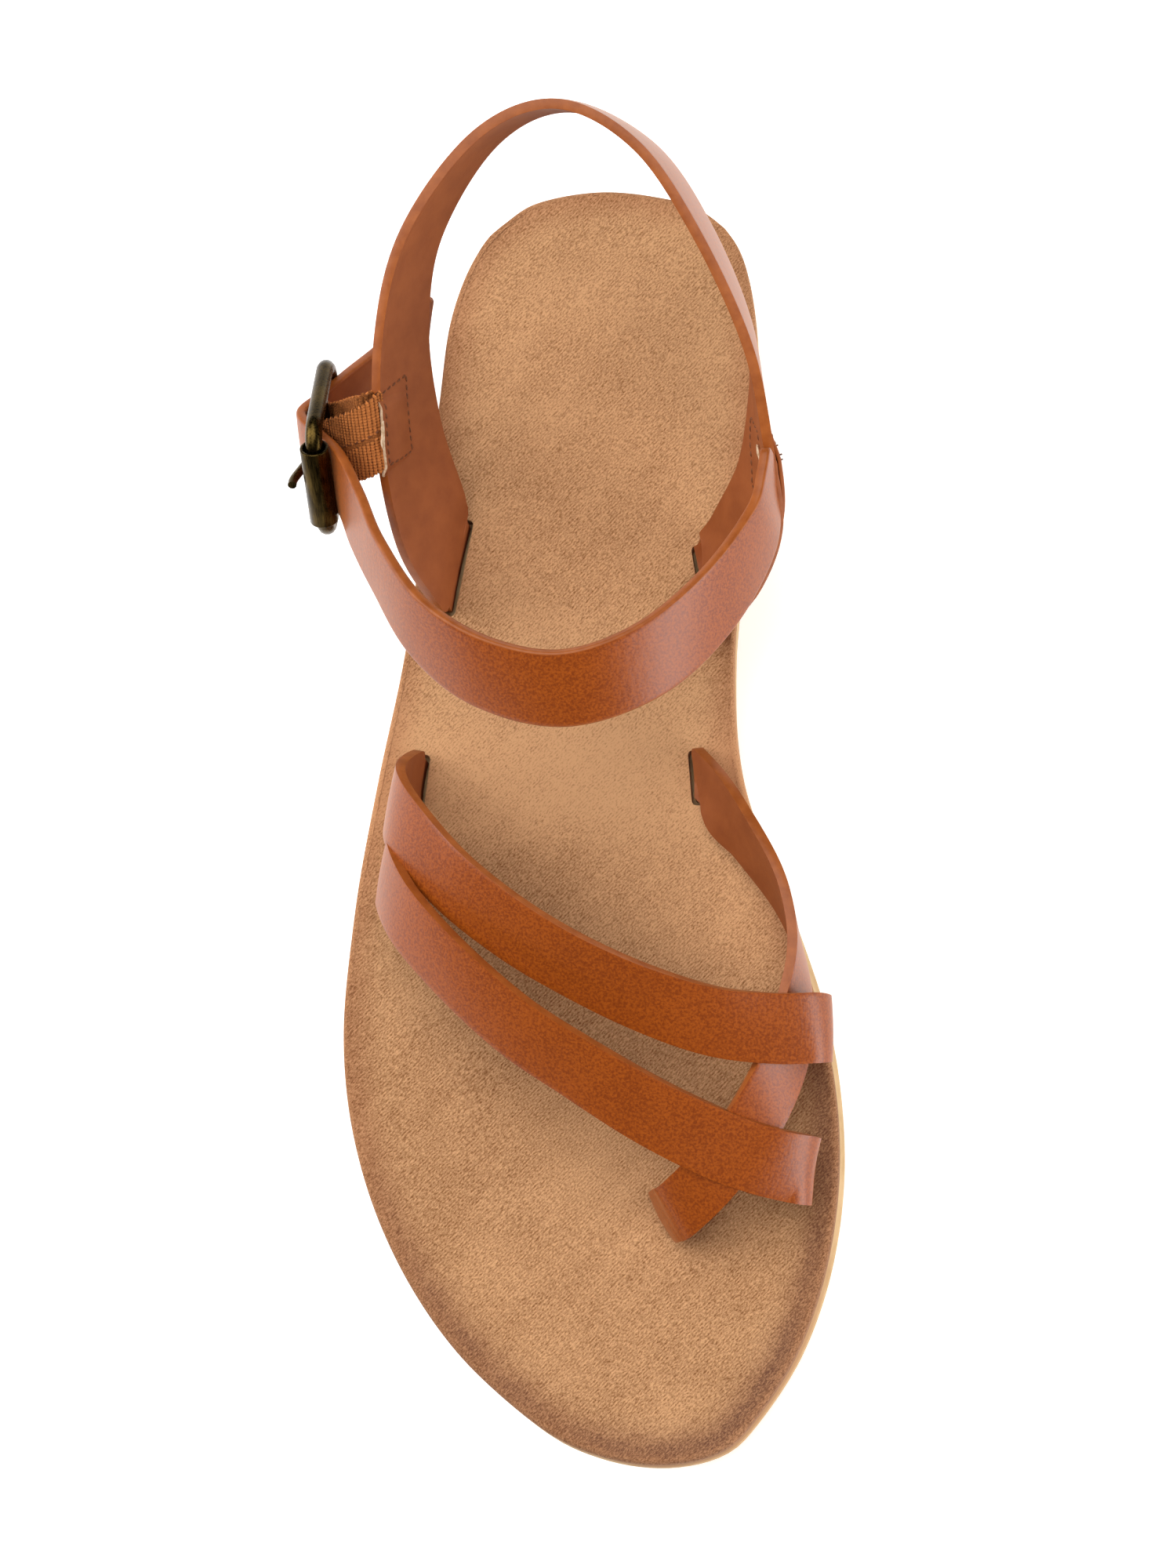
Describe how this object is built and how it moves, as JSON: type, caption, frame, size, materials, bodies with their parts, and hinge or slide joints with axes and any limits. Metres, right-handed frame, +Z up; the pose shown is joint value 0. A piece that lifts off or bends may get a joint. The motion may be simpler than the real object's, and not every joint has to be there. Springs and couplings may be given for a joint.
{
  "type": "toe post sandal",
  "caption": "Flat open leather sandal for the right foot with a toe post strap, crossing forefoot straps, a heel sling and an instep strap closed by a roller buckle on an elastic loop.",
  "frame": {"origin": "middle of the shoe's box, on the floor under the sole", "axes": "+X is the big toe side, +Y is the heel, +Z is up"},
  "size_m": [0.1064, 0.2637, 0.0803],
  "materials": {
    "cream_rubber": "matte moulded",
    "tan_suede": "napped suede",
    "cognac_leather": "smooth with painted edges",
    "tan_elastic": "ribbed webbing",
    "antique_brass": "antiqued"
  },
  "bodies": {
    "root": {"outsole": "cream_rubber", "footbed": "tan_suede", "forefoot_upper": "cognac_leather", "ankle_upper": "cognac_leather", "elastic_loop": "tan_elastic", "buckle_frame": "antique_brass", "buckle_roller": "antique_brass", "buckle_prong": "antique_brass"}
  },
  "joints": []
}
